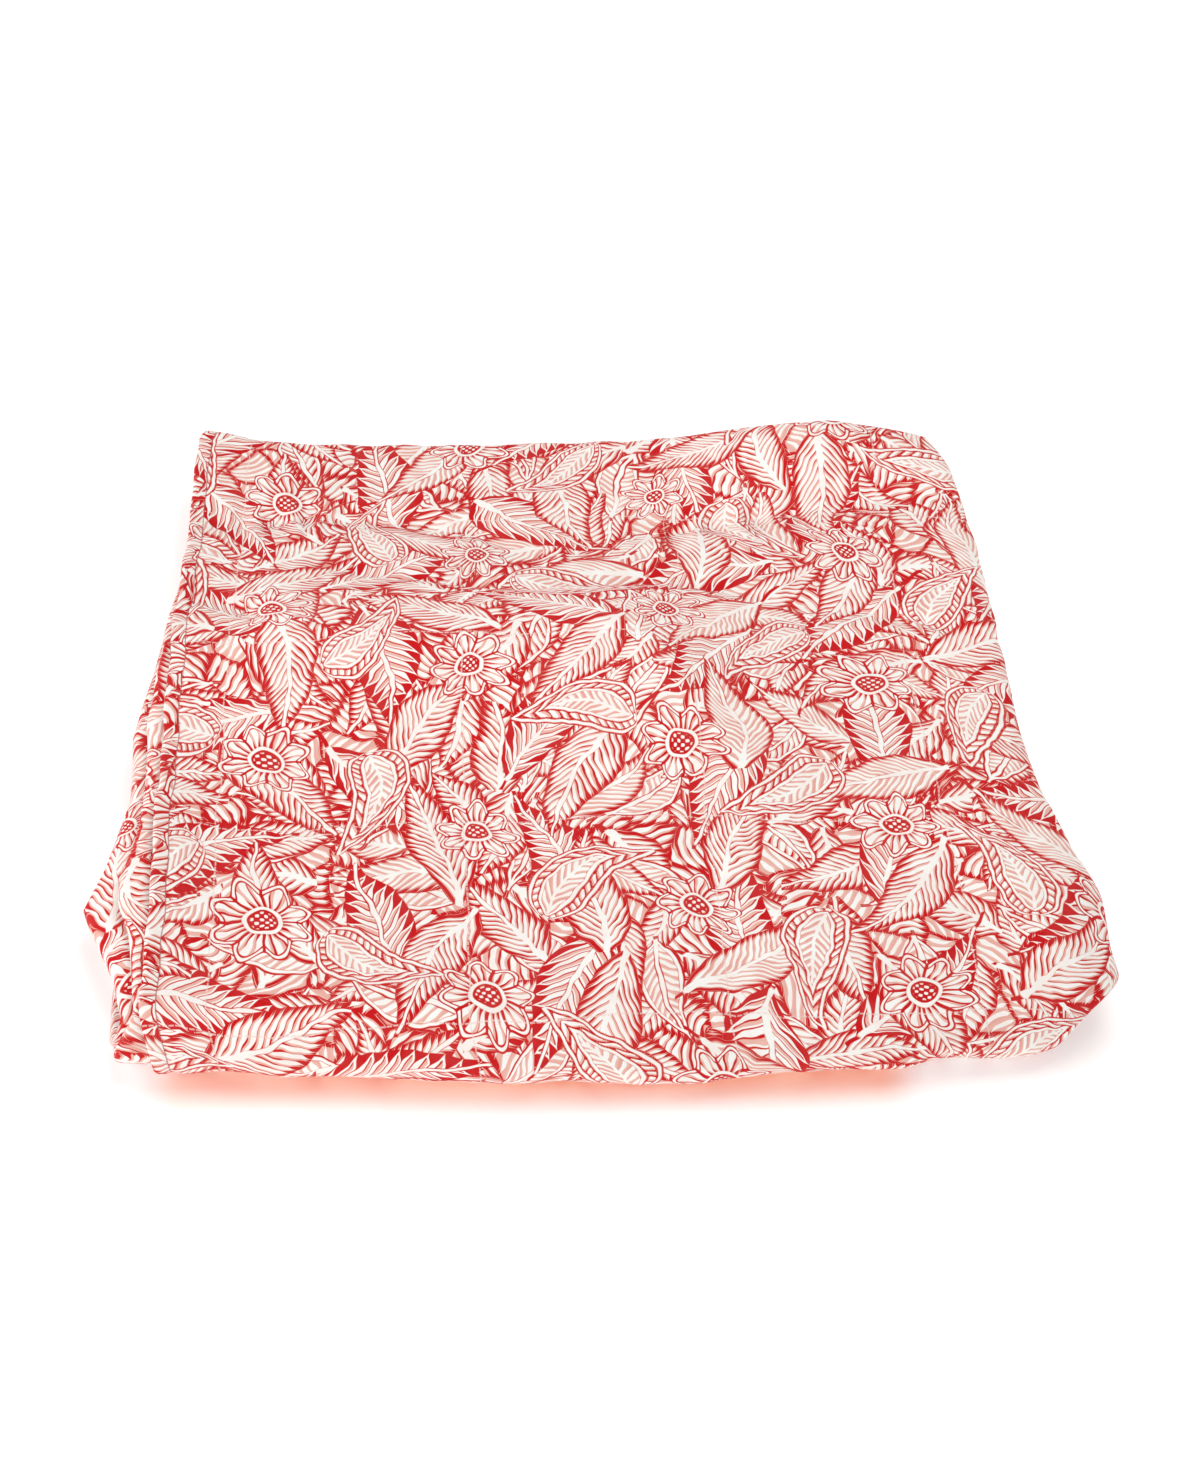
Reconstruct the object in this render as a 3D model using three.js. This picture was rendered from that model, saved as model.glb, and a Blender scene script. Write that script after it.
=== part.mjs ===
// A quilted coverlet: one padded cloth, lying folded on a flat surface.
// The width is folded in three, which makes a strip with a round fold at the right and, at the left,
// a hem on top of a second fold. The strip is then halved twice along its length. The last fold is
// the round front, and the strip's two ends and its first fold lie at the back.
// Millimetres, +Z up, +X to the right, +Y to the back. The origin is on the surface under the middle.

import * as THREE from 'three';

// The cloth and how its layers lie
const THICKNESS = 3.4;
const PITCH = 4.7; // from one layer of cloth to the next
const LAYERS_IN_STRIP = 3;
const STRIP = PITCH * LAYERS_IN_STRIP; // from one strip to the next
const STRIPS = 4;
const STACK = STRIP * STRIPS;
const LEVEL = { bottom: 0.5, lower: 1.5, upper: 2.5, top: 3.5 }; // middle of each strip, in strips
const FRONT_RADIUS = STRIP * 1.5; // middle of the strip in the last fold
const FOLD_RADIUS = STRIP / 2; // middle of the strip in the two folds inside
const UNDERSIDE = (PITCH - THICKNESS) / 2; // drop that brings the lowest face to the surface

// Places along Y where the strips turn or end
const FRONT_CENTRE = -218;
const BACK_CENTRE = 312;
const TOP_END = 331;
const UPPER_END = 318;
const INNER_SHORT = 24; // the innermost third stops this far short of the right fold

// Quilting and hem
const QUILT_FIRST = { width: 40, length: 90 }; // from the cloth's edge to the first line
const QUILT_SPACING = 160;
const QUILT_LINES_ON_FACE = 4; // across the third that shows
const QUILT_DEPTH = 0.9; // a line draws each face in this far
const QUILT_SOFT = 26; // and the padding is full again this far from it
const HEM_SEAM = 10;
const HEM_SEAM_DEPTH = 0.5;
const HEM_SEAM_SOFT = 5;

// Right-hand reach of each strip, a row for each section from the back to the front
const RIGHT = [
  { y: 331, top: 276, upper: 266, lower: 264, bottom: 262 },
  { y: 300, top: 292, upper: 280, lower: 278, bottom: 276 },
  { y: 250, top: 299, upper: 285, lower: 283, bottom: 281 },
  { y: 120, top: 298, upper: 286, lower: 284, bottom: 283 },
  { y: -30, top: 299, upper: 287, lower: 285, bottom: 284 },
  { y: -95, top: 309, upper: 292, lower: 287, bottom: 284 },
  { y: -150, top: 321, upper: 296, lower: 288, bottom: 284 },
  { y: -218, top: 321, upper: 294, lower: 284, bottom: 281 },
];

// Left-hand reach of the fold under each strip's hem, in the same sections and at the two bulges
const LEFT = [
  { y: 331, top: -282, upper: -280, lower: -278, bottom: -278 },
  { y: 250, top: -287, upper: -286, lower: -281, bottom: -279 },
  { y: 160, top: -292, upper: -295, lower: -285, bottom: -281 },
  { y: 80, top: -301, upper: -306, lower: -291, bottom: -284 },
  { y: 20, top: -304, upper: -315, lower: -297, bottom: -288 },
  { y: -35, top: -303, upper: -313, lower: -299, bottom: -290 },
  { y: -95, top: -307, upper: -325, lower: -303, bottom: -293 },
  { y: -140, top: -311, upper: -335, lower: -308, bottom: -298 },
  { y: -170, top: -303, upper: -319, lower: -313, bottom: -305 },
  { y: -194, top: -300, upper: -311, lower: -318, bottom: -313 },
  { y: -218, top: -298, upper: -306, lower: -314, bottom: -311 },
];

// Left-hand edge of the hem in each strip
const HEM = [
  { y: 331, top: -287, upper: -280, lower: -276, bottom: -282 },
  { y: 180, top: -290, upper: -282, lower: -276, bottom: -283 },
  { y: 60, top: -293, upper: -282, lower: -276, bottom: -285 },
  { y: -218, top: -293, upper: -282, lower: -276, bottom: -285 },
];

// How far the front fold and the back end stand out of line, a row for each section from left to right
const FRONT_LINE = [
  { x: -284, out: -8 },
  { x: -198, out: 0 },
  { x: -50, out: 14 },
  { x: 50, out: 12 },
  { x: 210, out: 0 },
  { x: 284, out: -11 },
  { x: 325, out: -28 },
];
const BACK_LINE = [
  { x: -284, out: 0 },
  { x: -248, out: -7 },
  { x: -134, out: -10 },
  { x: 0, out: -6 },
  { x: 110, out: -7 },
  { x: 284, out: -8 },
];
const LINE_FADE = 190; // each line's unevenness dies out this far in from its edge

// Soft swells of the top, a row for each: its middle, its half length, half width and turn, its rise
const SWELLS = [
  { name: 'ridge', x: -130, y: 82, long: 200, wide: 78, turn: 0, rise: 29 },
  { name: 'knee', x: 45, y: 28, long: 95, wide: 95, turn: 0, rise: 14 },
  { name: 'rear hump', x: 184, y: 320, long: 112, wide: 52, turn: 6, rise: 31 },
  { name: 'rear corner', x: -282, y: 331, long: 60, wide: 40, turn: 0, rise: 5 },
  { name: 'front swell', x: -20, y: -120, long: 280, wide: 105, turn: 0, rise: 6 },
  { name: 'right swell', x: 262, y: -120, long: 70, wide: 85, turn: 0, rise: 5 },
  { name: 'left bulge', x: -318, y: -95, long: 44, wide: 70, turn: 0, rise: 12 },
];

const SWELL_POWER = 3; // a swell fades this steeply from the top to the lowest layers

// Past the end of the strip under it, the top strip bends down at the right with this radius, and the
// two upper strips' folds bend down past the hem at the left
const DROOP_RADIUS = { right: 46, left: 100 };
const DROOP_START = 5;
const LEFT_DROOP = { least: STACK * 0.4, full: STACK * 0.6 }; // heights where it starts and is whole
const BEND_LEAST = 8; // mesh lines of the bend stay at least this far short of the right fold

// Mesh lines. Those that cross a flat stretch keep their place in plan from layer to layer, on the
// showing face's lines of quilting and between them. In front of BULGE_BACK, where the left side
// bulges, the two upper strips have twice as many.
const ROLL_STEPS = 6;
const TURN_STEPS = 5;
const FRONT_STEPS = 8;
const BACK_STEPS = 6;
const INSIDE_STEPS = 5;
const HEM_LINES = [0, 0.5, 1, 2].map((times) => times * HEM_SEAM);
const END_LINES = [0, 2 * HEM_SEAM];
const FRONT_FLAT = 32; // from the front folds to the first line across a flat stretch
const BULGE_BACK = -80;
const ALONG_STEP = QUILT_SPACING / 6;
const ALONG_STEPS = 16;
const FACE_EDGE = HEM[HEM.length - 1].top;
const ACROSS = spaced(FACE_EDGE + QUILT_FIRST.width, QUILT_SPACING / 2, QUILT_LINES_ON_FACE * 2 - 1);
const ALONG_COARSE = spaced(FRONT_CENTRE + FRONT_FLAT, ALONG_STEP * 4, ALONG_STEPS / 4 + 1);
const ALONG_FINE = spaced(FRONT_CENTRE + FRONT_FLAT, ALONG_STEP, ALONG_STEPS + 1)
  .filter((y, place) => place % 2 === 0 || y < BULGE_BACK);

const PRINT_COLOUR = 0xe3a39b; // red print on cream, seen from afar
const CLOTH_ROUGHNESS = 0.85;

const mix = THREE.MathUtils.lerp;
const smooth = (t) => THREE.MathUtils.smoothstep(t, 0, 1);

// A column of a table at any place, eased from row to row
function tableAt(rows, place, key, column) {
  const ascending = rows[0][key] < rows[rows.length - 1][key];
  const ordered = ascending ? rows : [...rows].reverse();
  const last = ordered.length - 1;
  if (place <= ordered[0][key]) return ordered[0][column];
  if (place >= ordered[last][key]) return ordered[last][column];
  const next = ordered.findIndex((row) => row[key] > place);
  const before = ordered[next - 1];
  const after = ordered[next];
  const t = (place - before[key]) / (after[key] - before[key]);
  return mix(before[column], after[column], smooth(t));
}

// Places a step apart
function spaced(first, step, count) {
  return Array.from({ length: count }, (_, place) => first + place * step);
}

// Lines of one flat stretch: each keeps a distance from an anchor
function flatLines(stretch, anchor, offsets) {
  return offsets.map((offset) => ({ stretch, anchor, offset }));
}

// Lines round one fold, leaving out the first
function foldLines(stretch, steps) {
  return Array.from({ length: steps }, (_, step) => ({ stretch, turn: Math.PI * (step + 1) / steps }));
}

// Each line's distance from the cloth's edge when the cloth is laid flat
function measureFlat(lines, placeOf) {
  let flat = 0;
  return lines.map((line, step) => {
    if (step > 0) flat += placeOf(line).distanceTo(placeOf(lines[step - 1]));
    return { ...line, flat };
  });
}

// Lines across the width: the showing third, the right fold, the third under it, the left fold and
// the third inside
function widthLines() {
  const lines = [
    ...flatLines('face', 'hem', HEM_LINES),
    ...flatLines('face', 'plan', ACROSS),
    ...flatLines('face', 'shoulder', [0]),
    ...flatLines('face', 'bend', [0]),
    ...flatLines('face', 'roll', [0]),
    ...foldLines('roll', ROLL_STEPS),
    ...flatLines('under', 'bend', [0]),
    ...flatLines('under', 'shoulder', [0]),
    ...flatLines('under', 'plan', [...ACROSS].reverse()),
    ...flatLines('under', 'brink', [0]),
    ...flatLines('under', 'turn', [0]),
    ...foldLines('turn', TURN_STEPS),
    ...flatLines('inner', 'brink', [0]),
    ...flatLines('inner', 'plan', ACROSS),
    ...flatLines('inner', 'end', [0]),
  ];
  const reach = reachAt({ y: 0, from: 'top', to: 'top', blend: 0 });
  return measureFlat(lines, (line) => {
    const { x, height } = acrossStrip(line, reach);
    return new THREE.Vector2(x, height);
  });
}

// Lines along the length: the top strip, the front fold, the strip on the surface, the back fold, the
// strip over it, the fold inside the front fold and the strip under the top one
function lengthLines() {
  const lines = [
    ...flatLines('top', 'end', END_LINES.map((line) => -line)),
    ...flatLines('top', 'plan', [...ALONG_FINE].reverse()),
    ...flatLines('top', 'front', [0]),
    ...foldLines('front', FRONT_STEPS),
    ...flatLines('bottom', 'plan', ALONG_COARSE),
    ...flatLines('bottom', 'back', [0]),
    ...foldLines('back', BACK_STEPS),
    ...flatLines('lower', 'plan', [...ALONG_COARSE].reverse()),
    ...flatLines('lower', 'front', [0]),
    ...foldLines('inside', INSIDE_STEPS),
    ...flatLines('upper', 'plan', ALONG_FINE),
    ...flatLines('upper', 'end', [UPPER_END - TOP_END]),
  ];
  return measureFlat(lines, (line) => {
    const { y, z } = stripAt(line);
    return new THREE.Vector2(y, z);
  });
}

// Middle of the strip in the Y-Z plane at a line along the length, with its outward normal and with
// the strips it belongs to
function stripAt({ stretch, anchor, offset, turn }) {
  const sin = Math.sin(turn);
  const cos = Math.cos(turn);
  const blend = smooth(turn / Math.PI);
  const anchors = { plan: 0, end: TOP_END, front: FRONT_CENTRE, back: BACK_CENTRE };
  const flat = (nz) => ({
    y: anchors[anchor] + offset, z: STRIP * LEVEL[stretch], ny: 0, nz, from: stretch, to: stretch, blend: 0,
  });
  switch (stretch) {
    case 'top':
      return flat(1);
    case 'front':
      return {
        y: FRONT_CENTRE - FRONT_RADIUS * sin, z: STACK / 2 + FRONT_RADIUS * cos,
        ny: -sin, nz: cos, from: 'top', to: 'bottom', blend,
      };
    case 'bottom':
      return flat(-1);
    case 'back':
      return {
        y: BACK_CENTRE + FOLD_RADIUS * sin, z: STRIP - FOLD_RADIUS * cos,
        ny: sin, nz: -cos, from: 'bottom', to: 'lower', blend,
      };
    case 'lower':
      return flat(1);
    case 'inside':
      return {
        y: FRONT_CENTRE - FOLD_RADIUS * sin, z: STACK / 2 - FOLD_RADIUS * cos,
        ny: sin, nz: cos, from: 'lower', to: 'upper', blend,
      };
    default:
      return flat(-1);
  }
}

// Where the top strip has nothing more under it at the right
function shoulderAt(y) {
  return tableAt(RIGHT, y, 'y', 'upper') - DROOP_START;
}

// How far the strip reaches to both sides at a place along its length
function reachAt(strip) {
  const column = (rows) => mix(
    tableAt(rows, strip.y, 'y', strip.from), tableAt(rows, strip.y, 'y', strip.to), strip.blend);
  return { hem: column(HEM), right: column(RIGHT), left: column(LEFT), shoulder: shoulderAt(strip.y) };
}

// Place across the strip, and height over its middle, at a line across the width
function acrossStrip({ stretch, anchor, offset, turn }, reach) {
  const sin = Math.sin(turn);
  const cos = Math.cos(turn);
  const roll = reach.right - PITCH;
  const shoulder = Math.min(reach.shoulder, roll - BEND_LEAST);
  const turnCentre = reach.left + PITCH / 2;
  const anchors = {
    plan: 0, hem: reach.hem, shoulder, bend: (shoulder + roll) / 2, roll,
    brink: (ACROSS[0] + turnCentre) / 2, turn: turnCentre, end: reach.right - INNER_SHORT,
  };
  const flat = (height) => ({ x: anchors[anchor] + offset, height });
  switch (stretch) {
    case 'face':
      return flat(PITCH);
    case 'roll':
      return { x: anchors.roll + PITCH * sin, height: PITCH * cos };
    case 'under':
      return flat(-PITCH);
    case 'turn':
      return { x: anchors.turn - (PITCH / 2) * sin, height: -(PITCH / 2) * (1 + cos) };
    default:
      return flat(0);
  }
}

// Rise of the swells at a place in plan
function swellAt(x, y) {
  let rise = 0;
  for (const swell of SWELLS) {
    const angle = THREE.MathUtils.degToRad(swell.turn);
    const along = (x - swell.x) * Math.cos(angle) + (y - swell.y) * Math.sin(angle);
    const across = (y - swell.y) * Math.cos(angle) - (x - swell.x) * Math.sin(angle);
    rise += swell.rise * Math.exp(-((along / swell.long) ** 2) - (across / swell.wide) ** 2);
  }
  return rise;
}

// The neat folds settled as they lie: wavy front and back, swells on top, the upper strips' sides bent down
function settle(x, y, z) {
  const nearFront = smooth((FRONT_CENTRE + LINE_FADE - y) / LINE_FADE);
  const nearBack = smooth((y - TOP_END + LINE_FADE) / LINE_FADE);
  const out = nearBack * tableAt(BACK_LINE, x, 'x', 'out') - nearFront * tableAt(FRONT_LINE, x, 'x', 'out');
  const pastRight = Math.max(0, x - shoulderAt(y));
  const pastLeft = Math.max(0, tableAt(HEM, y, 'y', 'top') - x);
  const leftShare = smooth((z - LEFT_DROOP.least) / (LEFT_DROOP.full - LEFT_DROOP.least));
  const rightDroop = pastRight ** 2 / (2 * DROOP_RADIUS.right);
  const leftDroop = leftShare * pastLeft ** 2 / (2 * DROOP_RADIUS.left);
  const rise = swellAt(x, y) * (z / STACK) ** SWELL_POWER;
  return new THREE.Vector3(x, y + out, z + rise - rightDroop - leftDroop - UNDERSIDE);
}

// Middle of the cloth where a line across the width meets one along the length
function clothAt(widthLine, lengthLine) {
  const strip = stripAt(lengthLine);
  const { x, height } = acrossStrip(widthLine, reachAt(strip));
  return settle(x, strip.y + strip.ny * height, strip.z + strip.nz * height);
}

// Half the padded thickness: drawn in at the quilting, and at the seam beside the hem
function halfThickness(widthLine, lengthLine) {
  const toQuilting = (flat, first) => {
    const past = flat - first + QUILT_SPACING * 0.5;
    return Math.abs(past - Math.floor(past / QUILT_SPACING) * QUILT_SPACING - QUILT_SPACING * 0.5);
  };
  const quilting = Math.min(
    toQuilting(widthLine.flat, QUILT_FIRST.width), toQuilting(lengthLine.flat, QUILT_FIRST.length));
  const hem = Math.abs(widthLine.flat - HEM_SEAM);
  const drawn = QUILT_DEPTH * (1 - smooth(quilting / QUILT_SOFT));
  const seam = HEM_SEAM_DEPTH * (1 - smooth(hem / HEM_SEAM_SOFT));
  return THICKNESS / 2 - Math.max(drawn, seam);
}

// The closed solid of the cloth: both faces, a middle's distance apart, and the rim between them
function clothGeometry() {
  const across = widthLines();
  const along = lengthLines();
  const middle = along.map((lengthLine) => across.map((widthLine) => clothAt(widthLine, lengthLine)));
  const rowSize = across.length;
  const faceSize = rowSize * along.length;
  const positions = new Float32Array(faceSize * 2 * 3);

  const clamp = THREE.MathUtils.clamp;
  along.forEach((lengthLine, row) => across.forEach((widthLine, column) => {
    const at = (r, c) => middle[clamp(r, 0, along.length - 1)][clamp(c, 0, rowSize - 1)];
    const acrossTangent = at(row, column + 1).clone().sub(at(row, column - 1));
    const alongTangent = at(row + 1, column).clone().sub(at(row - 1, column));
    const normal = alongTangent.cross(acrossTangent).normalize();
    const half = halfThickness(widthLine, lengthLine);
    const outside = at(row, column).clone().addScaledVector(normal, half);
    const inside = at(row, column).clone().addScaledVector(normal, -half);
    const onSurface = lengthLine.stretch === 'bottom' && widthLine.stretch === 'face';
    if (onSurface) outside.z = 0;
    outside.toArray(positions, (row * rowSize + column) * 3);
    inside.toArray(positions, (faceSize + row * rowSize + column) * 3);
  }));

  const index = [];
  const quad = (a, b, c, d) => index.push(a, b, c, a, c, d);
  for (let row = 0; row + 1 < along.length; row += 1) {
    for (let column = 0; column + 1 < rowSize; column += 1) {
      const corner = row * rowSize + column;
      const [a, b, c, d] = [corner, corner + rowSize, corner + rowSize + 1, corner + 1];
      const [e, f, g, h] = [a, b, c, d].map((point) => faceSize + point);
      const turnedAcross = across[column + 1].stretch === 'under';
      const turnedAlong = ['bottom', 'upper'].includes(along[row + 1].stretch);
      if (turnedAcross === turnedAlong) {
        quad(a, b, c, d);
        quad(g, f, e, h);
      } else {
        quad(b, c, d, a);
        quad(h, g, f, e);
      }
    }
  }
  const rim = (a, b) => quad(b, a, faceSize + a, faceSize + b);
  for (let row = 0; row + 1 < along.length; row += 1) {
    rim(row * rowSize, (row + 1) * rowSize);
    rim((row + 2) * rowSize - 1, (row + 1) * rowSize - 1);
  }
  const lastRow = faceSize - rowSize;
  for (let column = 0; column + 1 < rowSize; column += 1) {
    rim(column + 1, column);
    rim(lastRow + column, lastRow + column + 1);
  }

  const geometry = new THREE.BufferGeometry();
  geometry.setAttribute('position', new THREE.BufferAttribute(positions, 3));
  geometry.setIndex(index);
  geometry.computeBoundingBox();
  const centre = geometry.boundingBox.getCenter(new THREE.Vector3());
  geometry.translate(-centre.x, -centre.y, 0);
  geometry.computeVertexNormals();
  return geometry;
}

const coverlet = new THREE.Mesh(
  clothGeometry(),
  new THREE.MeshStandardMaterial({ color: PRINT_COLOUR, roughness: CLOTH_ROUGHNESS, metalness: 0 }),
);
coverlet.name = 'coverlet';

const part = new THREE.Group();
part.name = 'folded_coverlet';
part.add(coverlet);

export default part;
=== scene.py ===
"""A quilted coverlet lying folded: the cloth's fine surface, its print and a plain stage around it.

The width is folded in three and the strip is then halved twice along its length, as in the solid.
Sizes are in millimetres in the layout's own frame, and turn into metres in the part's frame at the end.
"""

import math

import bpy
import numpy as np
from mathutils import Matrix, Vector


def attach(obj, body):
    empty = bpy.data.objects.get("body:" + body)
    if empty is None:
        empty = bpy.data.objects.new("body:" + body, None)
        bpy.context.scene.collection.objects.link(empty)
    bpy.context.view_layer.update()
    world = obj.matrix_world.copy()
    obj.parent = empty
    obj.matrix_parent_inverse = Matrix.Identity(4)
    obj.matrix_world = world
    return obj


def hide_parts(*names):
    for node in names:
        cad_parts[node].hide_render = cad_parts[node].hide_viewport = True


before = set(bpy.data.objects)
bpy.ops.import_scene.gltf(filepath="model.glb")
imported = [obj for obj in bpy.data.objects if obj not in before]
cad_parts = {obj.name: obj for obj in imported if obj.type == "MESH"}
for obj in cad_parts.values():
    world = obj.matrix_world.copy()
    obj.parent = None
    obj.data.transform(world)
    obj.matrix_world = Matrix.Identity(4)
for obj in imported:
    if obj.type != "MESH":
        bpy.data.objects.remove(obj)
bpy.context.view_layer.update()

MM = 0.001
LAYOUT_CENTRE = (-6.56, 36.33)  # middle of the solid's box in the layout

# The cloth and how its layers lie. PITCH is from layer to layer, and a strip is the width folded in three.
THICKNESS = 3.4
PITCH = 4.7
STRIP = PITCH * 3
STACK = STRIP * 4
FRONT_RADIUS = STRIP * 1.5
FRONT_CHANGE = (0.03, 0.62)  # shares of the front fold's turn between which its sides change their reach
FOLD_RADIUS = STRIP / 2
UNDERSIDE = (PITCH - THICKNESS) / 2
LEVEL = dict(bottom=0.5, lower=1.5, upper=2.5, top=3.5)
FACING = dict(bottom=-1, lower=1, upper=-1, top=1)

# Places along Y where the strips turn or end
FRONT_CENTRE = -218
BACK_CENTRE = 312
TOP_END = 331
UPPER_END = 318

# The side folds and the edges: how far the innermost third stops short of the right fold, the share of
# its thickness that each fold leaves the cloth, and how unevenly the edges run
INNER_SHORT = 24
FOLD_PRESS = dict(roll=0.75, turn=0.72)
WAVER = dict(size=22, reach=1.7)
WAVER_SEEDS = dict(hem=60, right=61, left=62, back=63)
LATTICE = 64  # random heights each way before they repeat

# Quilting and hem
QUILT_FIRST = dict(width=40, length=90)
QUILT_SPACING = 160
QUILT_DEPTH = 0.9
QUILT_SOFT = 26
HEM_SEAM = 10
HEM_SEAM_DEPTH = 1.1
HEM_SEAM_SOFT = 4.5
EDGE_ROUND = 2.2
EDGE_LEAST = 0.3

# Reach of each strip to the right, a row for each section from the back to the front
RIGHT = [
    dict(y=331, top=276, upper=266, lower=264, bottom=262),
    dict(y=300, top=292, upper=280, lower=278, bottom=276),
    dict(y=250, top=299, upper=285, lower=283, bottom=281),
    dict(y=120, top=298, upper=286, lower=284, bottom=283),
    dict(y=-30, top=299, upper=287, lower=285, bottom=284),
    dict(y=-95, top=309, upper=292, lower=287, bottom=284),
    dict(y=-150, top=321, upper=296, lower=288, bottom=284),
    dict(y=-218, top=321, upper=294, lower=284, bottom=281),
]

# Reach of the fold under each strip's hem to the left
LEFT = [
    dict(y=331, top=-282, upper=-280, lower=-278, bottom=-278),
    dict(y=250, top=-287, upper=-286, lower=-281, bottom=-279),
    dict(y=160, top=-292, upper=-295, lower=-285, bottom=-281),
    dict(y=80, top=-301, upper=-306, lower=-291, bottom=-284),
    dict(y=20, top=-304, upper=-315, lower=-297, bottom=-288),
    dict(y=-35, top=-303, upper=-313, lower=-299, bottom=-290),
    dict(y=-95, top=-307, upper=-325, lower=-303, bottom=-293),
    dict(y=-140, top=-311, upper=-335, lower=-308, bottom=-298),
    dict(y=-170, top=-303, upper=-319, lower=-313, bottom=-305),
    dict(y=-194, top=-300, upper=-311, lower=-318, bottom=-313),
    dict(y=-218, top=-298, upper=-306, lower=-314, bottom=-311),
]

# Reach of each strip's hem to the left
HEM = [
    dict(y=331, top=-287, upper=-280, lower=-276, bottom=-282),
    dict(y=180, top=-290, upper=-282, lower=-276, bottom=-283),
    dict(y=60, top=-293, upper=-282, lower=-276, bottom=-285),
    dict(y=-218, top=-293, upper=-282, lower=-276, bottom=-285),
]

# How far the front fold and the back end stand out of line, and over what length that fades out
FRONT_LINE = [
    dict(x=-284, out=1), dict(x=-198, out=4), dict(x=-50, out=14), dict(x=50, out=12),
    dict(x=210, out=0), dict(x=284, out=-11), dict(x=325, out=-28),
]
BACK_LINE = [
    dict(x=-284, out=0), dict(x=-248, out=-7), dict(x=-134, out=-10), dict(x=0, out=-6),
    dict(x=110, out=-7), dict(x=284, out=-8),
]
LINE_FADE = 190

# Soft swells of the top
SWELLS = [
    dict(name="ridge", x=-130, y=82, long=200, wide=78, turn=0, rise=29),
    dict(name="knee", x=45, y=28, long=95, wide=95, turn=0, rise=14),
    dict(name="rear hump", x=184, y=320, long=112, wide=52, turn=6, rise=31),
    dict(name="rear corner", x=-282, y=331, long=60, wide=40, turn=0, rise=5),
    dict(name="front swell", x=-20, y=-120, long=280, wide=105, turn=0, rise=6),
    dict(name="right swell", x=262, y=-120, long=70, wide=85, turn=0, rise=5),
    dict(name="left bulge", x=-318, y=-95, long=44, wide=70, turn=0, rise=12),
]

# How fast the swells and creases fade downwards, how the sides bend down and how the hem lifts
SWELL_POWER = 3
CREASE_POWER = 1.5
DROOP_RADIUS = dict(right=46, left=100)
DROOP_START = 5
LEFT_DROOP = dict(least=0.4 * STACK, full=0.6 * STACK)
CORNER_ROUND = 15  # radius of the showing hem's corner
HEM_LIFT = 3.0
HEM_LIFT_SOFT = 12

# Lumps along the foot of the front fold
LUMPS = [dict(size=34, reach=2.9, seed=7), dict(size=13, reach=1.1, seed=8)]
LUMP_HEIGHT = 16
LUMP_SOFT = 14

# Creases of the top by the places they pass through: how far they rise, or fall where negative, how soft
# they are to each side, over what length they fade out and how uneven the cloth is beside them
CREASES = [
    dict(
        name="quilted valley", rise=-9.8, soft=17, fade=28, uneven=1.1,
        path=[(-292, 222), (-259, 228), (-208, 238), (-134, 235), (-75, 219), (-32, 190), (44, 220),
              (130, 242), (249, 266), (306, 270)],
    ),
    dict(
        name="second crease", rise=-7, soft=10, fade=50, uneven=0.5,
        path=[(-205, 176), (-149, 161), (-99, 153), (-49, 142), (-5, 154), (70, 160), (140, 138),
              (203, 132), (250, 119), (290, 104)],
    ),
    dict(
        name="ridge crest", rise=6, soft=26, fade=60, uneven=0.3,
        path=[(-260, 60), (-211, 82), (-163, 68), (-122, 76), (-66, 92), (-9, 104), (31, 82), (66, 20),
              (91, -36), (104, -90)],
    ),
    dict(
        name="left pocket", rise=-10.5, soft=13, fade=30, uneven=0.3,
        path=[(-290, 130), (-254, 124), (-222, 98)],
    ),
    dict(
        name="right fall", rise=-4, soft=30, fade=50, uneven=0.2,
        path=[(120, 60), (170, 40), (228, 46)],
    ),
    dict(
        name="front right brow", rise=4, soft=30, fade=50, uneven=0.2,
        path=[(215, -70), (262, -140), (300, -205)],
    ),
]
CREASE_CORE = 0.35  # the share of a crease that is its sharp core
CREASE_CORE_SOFT = 0.4
CREASE_DEPTH = dict(size=55, change=0.25, seed=20)  # how the depth varies along a crease
UNEVEN = dict(size=9, across=0.15, seed=40)  # ruffles beside a crease, drawn out across it
LIE = dict(size=75, reach=1.3, seed=3)  # how unevenly the upper layers lie
RIPPLE = dict(size=28, reach=0.5, seed=4)  # how unevenly the outermost layer lies on them

# Small gathers that cross the creases, on the outermost layer alone
GATHERS = [
    dict(x=-262, y=226, long=22, soft=4.5, rise=3.2, lean=0.10),
    dict(x=-240, y=232, long=26, soft=5, rise=3.8, lean=0.0),
    dict(x=-212, y=238, long=30, soft=5, rise=3.4, lean=-0.15),
    dict(x=-193, y=238, long=24, soft=4.5, rise=3.9, lean=0.1),
    dict(x=-160, y=236, long=18, soft=5, rise=2.2, lean=0.2),
    dict(x=-96, y=226, long=20, soft=6, rise=2.4, lean=-0.3),
    dict(x=-20, y=192, long=22, soft=6, rise=2.4, lean=0.3),
    dict(x=60, y=224, long=20, soft=5, rise=2.8, lean=0.2),
    dict(x=88, y=231, long=30, soft=5, rise=3.9, lean=0.1),
    dict(x=121, y=240, long=26, soft=5, rise=3.8, lean=-0.1),
    dict(x=150, y=246, long=20, soft=5, rise=2.4, lean=0.0),
    dict(x=236, y=124, long=18, soft=6, rise=2.5, lean=-0.4),
]

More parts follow.
